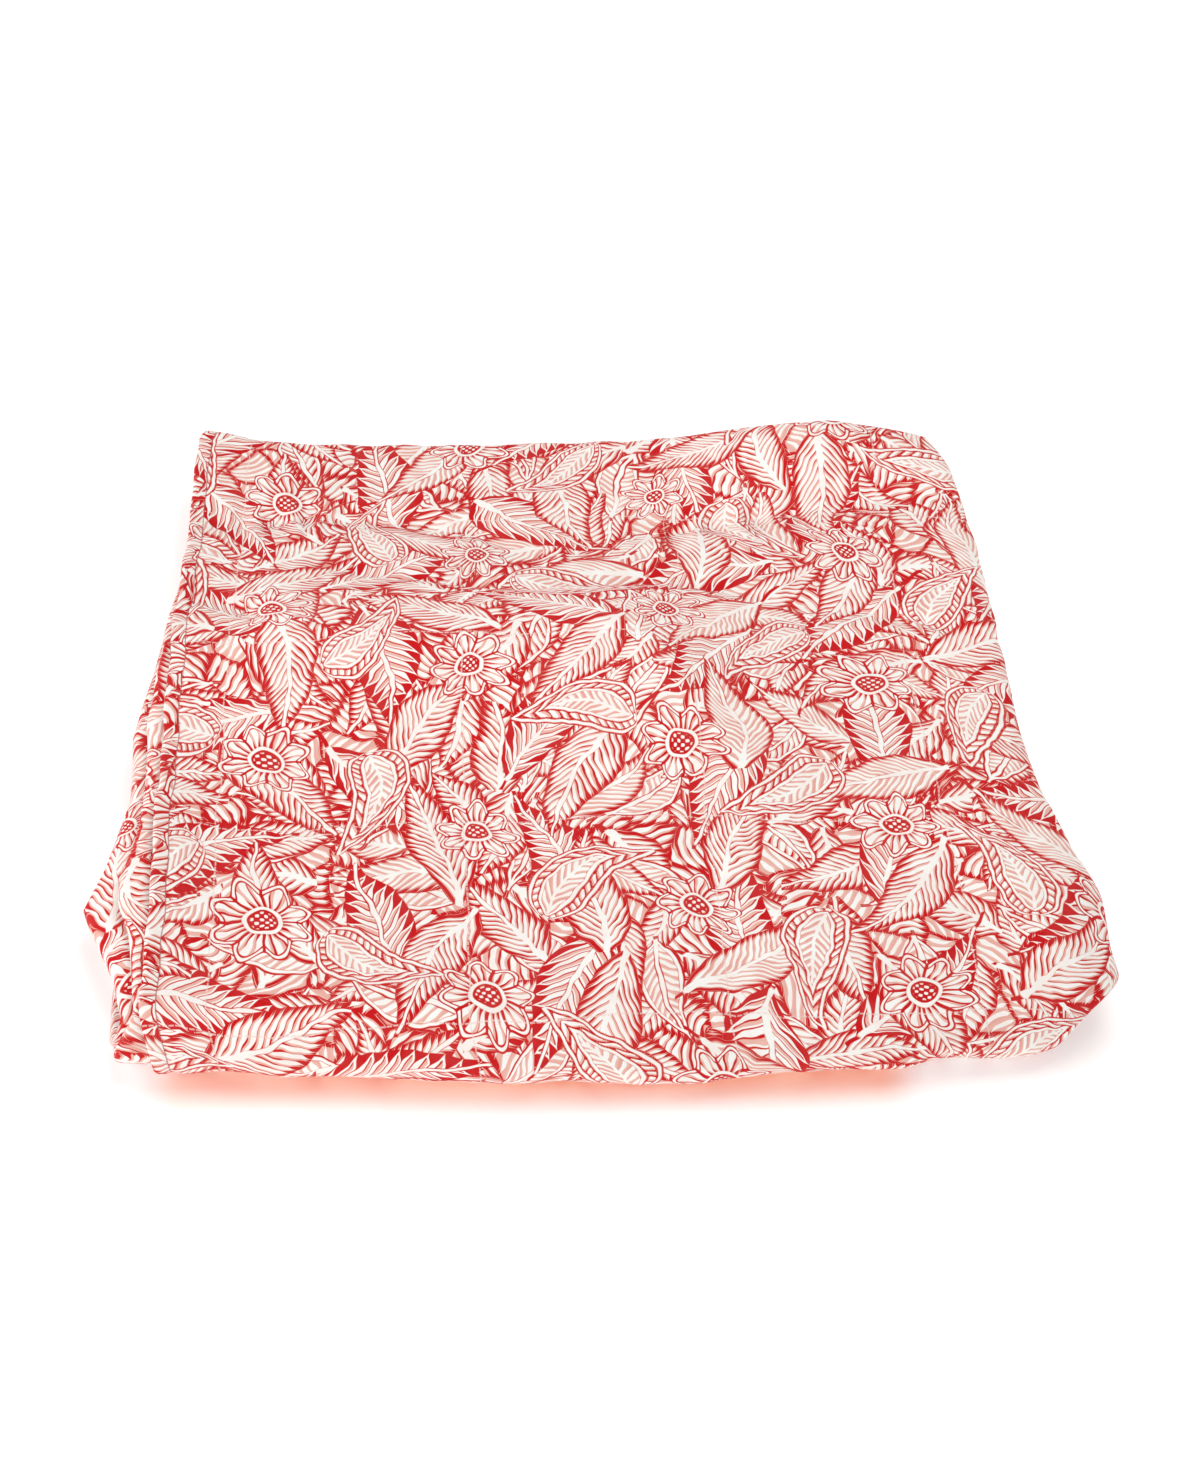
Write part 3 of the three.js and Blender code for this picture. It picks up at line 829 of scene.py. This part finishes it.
def feather(x, y, below, press, motif):
    """One feathered leaf in each cell: free strokes that taper away from a strong midrib."""
    side, t, inside, barbs, chance = spread(x, y, motif)
    tint = chance.above(FEATHER["tinted"]) * inside.ramp(*FEATHER["tint_edge"]) * FEATHER["tint"]
    strokes = stroke(barbs, inside.ramp(*FEATHER["grow"]) * press * FEATHER["width"])
    tone = strokes.most(tint) * side.past(FEATHER["clear"])
    tone = tone.most(midrib(side, t, press, FEATHER["rib"]))
    return tone.over(below, inside.past(-GAP))


def fern(x, y, below, press, motif):
    """One fern in each cell: leaflets with a vein and a shaded half, set in pairs on a midrib."""
    side, t, inside, barbs, _ = spread(x, y, motif)
    part = barbs.fract() - 0.5
    off = part.abs() * 2
    room = inside.ramp(FERN["start"], motif["wide"] * FERN["full"]) * FERN["width"] - off
    tone = room.ramp(*FERN["body"]) * (1 - part.ramp(*FERN["shaded"]) * HALF) * off.ramp(*FERN["vein"])
    tone = tone.most(room.ramp(*FERN["rim"]) * room.ramp(*FERN["rim_end"])) * side.past(FERN["clear"])
    tone = tone.most(midrib(side, t, press, FERN["rib"]))
    return tone.over(below, inside.past(-GAP))


def flower(x, y, below, press, motif):
    """One round flower in each cell: outlined petals with drawn lines, and a dotted heart."""
    radius, petals = motif["radius"], motif["petals"]
    a, b, (turn, chance, _) = cells(x, y, motif)
    angle = a.do("ARCTAN2", b, a) + turn * FULL_TURN
    r = (a * a + b * b).root() / (chance * FLOWER["chance"] + FLOWER["least"])
    wave = (angle * petals).cos()
    inside = (wave * FLOWER["wave"] + (1 - FLOWER["wave"])) * radius - r
    share = r / radius
    width = share.ramp(*FLOWER["grow"]) * press * FLOWER["width"]
    lines = stroke(angle * (petals * FLOWER["lines"] / FULL_TURN) + 0.5, width)
    tone = (lines * inside.past(LINE + GAP)).most(inside.past(0) * inside.before(LINE))
    tone = tone * ((wave + 1) * r).ramp(*FLOWER["parting"]) * share.ramp(*FLOWER["petal"])
    tone = tone.most(share.ramp(*FLOWER["ring_end"]) * share.ramp(*FLOWER["ring"]))
    dots = ((a * FLOWER["dotted"]).sin() * (b * FLOWER["dotted"]).sin()).ramp(*FLOWER["dot"])
    return tone.most(dots * share.ramp(*FLOWER["dots_end"])).over(below, inside.past(-GAP))


def paisley(x, y, below, press, motif):
    """One curled drop in each cell: nested outlines, a laced border and a rib of small leaves."""
    a, b, (turn, bend, _) = cells(x, y, motif)
    a, b = turned(a, b, turn * FULL_TURN)
    t = a / motif["long"]
    curl = (t + PAISLEY["bow"]) * (t + PAISLEY["bow"]) - PAISLEY["level"]
    side = (b + (bend - 0.5).sign() * motif["hook"] * curl).abs()
    inside = (1 - t * t).most(0.0).root() * (1 - t * PAISLEY["taper"]) * motif["wide"] - side

    def strokes(row, room):
        return stroke((a + side * row["slant"]) / row["pitch"], room * press * row["width"])

    ring = PAISLEY["ring"]
    heart = inside.past(PAISLEY["heart"])
    tone = inside.past(0) * inside.before(LINE)
    tone = tone.most(strokes(PAISLEY["lace"], inside.past(LINE + GAP) * inside.before(ring)))
    tone = tone.most(inside.past(ring + GAP) * inside.before(ring + GAP + LINE))
    tone = tone.most(strokes(PAISLEY["barbs"], heart)).most(heart * PAISLEY["tint"])
    tone = tone.most(side.before(PAISLEY["rib"]) * heart)
    return tone.over(below, inside.past(-GAP) * t.abs().ramp(*PAISLEY["tip"]))


def print_tone(u, v):
    """The whole print at a place on the flat cloth: 0 is the ground, 1 the paper."""
    x, y = u, v
    for step in WANDER:
        x, y = wandered(x, y, **step)
    press = pressed(x, y)
    tone = hatching(x, y, press)
    draw = dict(leaf=leaf, feather=feather, fern=fern, flower=flower, paisley=paisley)
    for motif in MOTIFS:
        tone = draw[motif["draw"]](x, y, tone, press, motif)
    noise = texture(v, u, "Noise", "noise_dimensions", 1 / FADE["size"])
    worn = Field(u.tree, noise.outputs["Fac"]).ramp(*FADE["rise"])
    return tone * (1 - worn * FADE["paper"]) + (1 - tone) * worn * FADE["ground"]


def stitches(across, along, first):
    """Rows of stitches along the quilting's lines in one direction."""
    off = (((across + (QUILT_SPACING / 2 - first)) / QUILT_SPACING).fract() - 0.5) * QUILT_SPACING
    dash = ((along / STITCH["length"]).fract() - 0.5).abs() * 2
    dash = dash.ramp(STITCH["share"] + STITCH["soft"], STITCH["share"] - STITCH["soft"])
    return off.abs().before(STITCH["width"]) * dash


def print_colour(tone):
    """The colour of a tone of the print."""
    node = tone.tree.nodes.new("ShaderNodeValToRGB")
    tone.tree.links.new(tone.socket, node.inputs["Fac"])
    elements = node.color_ramp.elements
    elements.new(HALF)
    for element, (place, colour) in zip(elements, [(0.0, GROUND), (HALF, HALF_TONE), (1.0, PAPER)]):
        element.position = place
        element.color = colour
    return node.outputs["Color"]


def painted(below, cover, paint):
    """A colour with another one laid over it."""
    node = cover.tree.nodes.new("ShaderNodeMix")
    node.data_type = "RGBA"
    cover.tree.links.new(cover.socket, node.inputs["Factor"])
    cover.tree.links.new(below, node.inputs["A"])
    node.inputs["B"].default_value = paint
    return node.outputs["Result"]


def print_material():
    """Printed cotton with its stitching and weave, and painted shade along the hem's seam."""
    material = bpy.data.materials.new("printed_cotton")
    material.use_nodes = True
    tree = material.node_tree
    shader = tree.nodes["Principled BSDF"]
    flat = tree.nodes.new("ShaderNodeUVMap")
    flat.uv_map = FLAT_MAP
    u, v = (side * (1 / MM) for side in split(tree, flat.outputs["UV"], "XYZ", ("X", "Y")))
    distance = tree.nodes.new("ShaderNodeAttribute")
    distance.attribute_name = SIDE_DISTANCE
    to_side = Field(tree, distance.outputs["Fac"])

    in_hem = to_side.ramp(HEM_SEAM, HEM_SEAM - SEAM_EDGE)
    tone = print_tone(u + in_hem * HEM_SHIFT[0], v + in_hem * HEM_SHIFT[1])
    sewn = stitches(u, v, QUILT_FIRST["width"]).most(stitches(v, u, QUILT_FIRST["length"]))
    # Painted shade: a thin dark line laid over the print along the hem's seam, where its groove is shaded
    seam = (to_side - HEM_SEAM).abs().ramp(*SEAM_SHADE_WIDTH)
    colour = painted(print_colour(tone), sewn * THREAD_COVER, THREAD)
    colour = painted(colour, seam * SEAM_SHADE_COVER, SEAM_PAINTED_SHADE)
    tree.links.new(colour, shader.inputs["Base Color"])

    weave = (u * (FULL_TURN / WEAVE)).sin() * (v * (FULL_TURN / WEAVE)).sin()
    bump = tree.nodes.new("ShaderNodeBump")
    bump.inputs["Strength"].default_value = RELIEF["strength"]
    bump.inputs["Distance"].default_value = RELIEF["depth"] * MM
    tree.links.new((weave + sewn * RELIEF["thread"]).socket, bump.inputs["Height"])
    tree.links.new(bump.outputs["Normal"], shader.inputs["Normal"])
    for name, value in COTTON.items():
        shader.inputs[name].default_value = value
    return material


def coverlet():
    """The whole coverlet, in place of its solid."""
    piece = bpy.data.objects.new("coverlet_cloth", cloth_mesh())
    bpy.context.scene.collection.objects.link(piece)
    piece.data.materials.append(print_material())
    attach(piece, "root")
    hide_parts("coverlet")


# The stage: a pale floor that sweeps up at its rim, soft light and the photo's angle, in metres
FLOOR_REACH = 2.8
SWEEP_RADIUS = 1.0
WALL_TOP = 1.5
SWEEP_STEPS = 8
FLOOR_SIDES = 72
FLOOR_COLOUR = (0.785, 0.777, 0.768, 1)
FLOOR_ROUGHNESS = 0.9
FLOOR_GLOW = dict(start=0.55, near=0.40, end=1.5, far=0.78)  # white paper far out stays white
# Painted warm glow: emission tinted warm along a line by the coverlet's front, standing in for light
# bounced off the red cloth; WARM_LINE places that line in metres and WARM_REACH sets how far the tint fades
PAINTED_WARM_GLOW = (1.0, 0.24, 0.06, 1)  # warm light that the cloth's front throws on the floor
FAR_GLOW = (1.0, 1.0, 1.0, 1)
WARM_LINE = dict(x=-0.045, y=-0.28, half=0.215)
WARM_REACH = dict(start=0.0, end=0.036)
SKY_COLOUR = (1, 1, 1, 1)
SKY = 0.05
LIGHTS = [
    dict(name="key", at=(0.25, 0.14, 1.40), size=(1.1, 1.1), energy=16.0),
    dict(name="left fill", at=(-1.5, -0.4, 0.80), size=(1.2, 0.9), energy=14.0),
    dict(name="front fill", at=(-0.2, -1.9, 0.60), size=(2.4, 0.9), energy=6.0),
]
LIGHTS_AIM = (0.0, 0.0, 0.04)

# The camera: its place in the layout in millimetres, its angles in degrees, its focal length in pixels
CAMERA_AT = (-149.0, -1143.3, 1213.1)
CAMERA_TURN = 7.43
CAMERA_TILT = 45.06
CAMERA_ROLL = 5.29
FOCAL_PIXELS = 2400
PHOTO_HEIGHT = 1478
SENSOR = 36.0


def floor_mesh():
    """A wide round floor, swept up into a low wall at its rim."""
    profile = [(FLOOR_REACH, 0.0)]
    for turn in np.linspace(0, math.pi / 2, SWEEP_STEPS + 1)[1:]:
        profile.append((FLOOR_REACH + SWEEP_RADIUS * math.sin(turn), SWEEP_RADIUS * (1 - math.cos(turn))))
    profile.append((FLOOR_REACH + SWEEP_RADIUS, WALL_TOP))
    points = [(0.0, 0.0, 0.0)]
    for reach, height in profile:
        for angle in np.linspace(0, FULL_TURN, FLOOR_SIDES, endpoint=False):
            points.append((reach * math.cos(angle), reach * math.sin(angle), height))
    faces = []
    for side in range(FLOOR_SIDES):
        here, after = 1 + side, 1 + (side + 1) % FLOOR_SIDES
        faces.append((0, here, after))
        for ring in range(len(profile) - 1):
            low, high = ring * FLOOR_SIDES, (ring + 1) * FLOOR_SIDES
            faces.append((here + low, here + high, after + high, after + low))
    mesh = bpy.data.meshes.new("floor")
    mesh.from_pydata(points, [], faces)
    mesh.polygons.foreach_set("use_smooth", np.ones(len(faces), bool))
    return mesh


def floor_material():
    """Pale paper that glows white far out, with a painted warm glow along the coverlet's front in place of
    the cloth's bounced light.
    """
    material = bpy.data.materials.new("floor_paper")
    material.use_nodes = True
    tree = material.node_tree
    shader = tree.nodes["Principled BSDF"]
    shader.inputs["Base Color"].default_value = FLOOR_COLOUR
    shader.inputs["Roughness"].default_value = FLOOR_ROUGHNESS
    place = tree.nodes.new("ShaderNodeNewGeometry")
    x, y = split(tree, place.outputs["Position"], "XYZ", ("X", "Y"))
    far = (x * x + y * y).root().ramp(FLOOR_GLOW["start"], FLOOR_GLOW["end"])
    glow = far * (FLOOR_GLOW["far"] - FLOOR_GLOW["near"]) + FLOOR_GLOW["near"]
    tree.links.new(glow.socket, shader.inputs["Emission Strength"])
    # Painted warm glow: the emission turns warm close to a line along the coverlet's front
    beside = ((x - WARM_LINE["x"]).abs() - WARM_LINE["half"]).most(0.0)
    ahead = y - WARM_LINE["y"]
    from_line = (beside * beside + ahead * ahead).root()
    tint = tree.nodes.new("ShaderNodeValToRGB")
    tint.color_ramp.elements[0].color = PAINTED_WARM_GLOW
    tint.color_ramp.elements[1].color = FAR_GLOW
    tree.links.new(from_line.ramp(WARM_REACH["start"], WARM_REACH["end"]).socket, tint.inputs["Fac"])
    tree.links.new(tint.outputs["Color"], shader.inputs["Emission Color"])
    return material


def floor():
    """The floor that the coverlet lies on."""
    ground = bpy.data.objects.new("floor", floor_mesh())
    ground.data.materials.append(floor_material())
    bpy.context.scene.collection.objects.link(ground)


def lights():
    """A white sky and the softboxes."""
    world = bpy.data.worlds.new("studio")
    world.use_nodes = True
    sky = world.node_tree.nodes["Background"]
    sky.inputs["Color"].default_value = SKY_COLOUR
    sky.inputs["Strength"].default_value = SKY
    bpy.context.scene.world = world
    for row in LIGHTS:
        light = bpy.data.lights.new(row["name"], "AREA")
        light.shape = "RECTANGLE"
        light.size, light.size_y = row["size"]
        light.energy = row["energy"]
        lamp = bpy.data.objects.new(row["name"], light)
        lamp.location = row["at"]
        direction = Vector(LIGHTS_AIM) - Vector(row["at"])
        lamp.rotation_euler = direction.to_track_quat("-Z", "Y").to_euler()
        bpy.context.scene.collection.objects.link(lamp)


def camera():
    """The photo's angle."""
    lens = bpy.data.cameras.new("photo_angle")
    lens.sensor_width = SENSOR
    lens.lens = SENSOR * FOCAL_PIXELS / PHOTO_HEIGHT
    seat = bpy.data.objects.new("photo_angle", lens)
    turn = Matrix.Rotation(math.radians(-CAMERA_TURN), 4, "Z")
    tilt = Matrix.Rotation(math.radians(90 - CAMERA_TILT), 4, "X")
    roll = Matrix.Rotation(math.radians(CAMERA_ROLL), 4, "Z")
    x, y, z = CAMERA_AT
    place = Matrix.Translation(((x - LAYOUT_CENTRE[0]) * MM, (y - LAYOUT_CENTRE[1]) * MM, z * MM))
    seat.matrix_world = place @ turn @ tilt @ roll
    bpy.context.scene.collection.objects.link(seat)
    bpy.context.scene.camera = seat
    bpy.context.scene.view_settings.view_transform = "Standard"


coverlet()
floor()
lights()
camera()
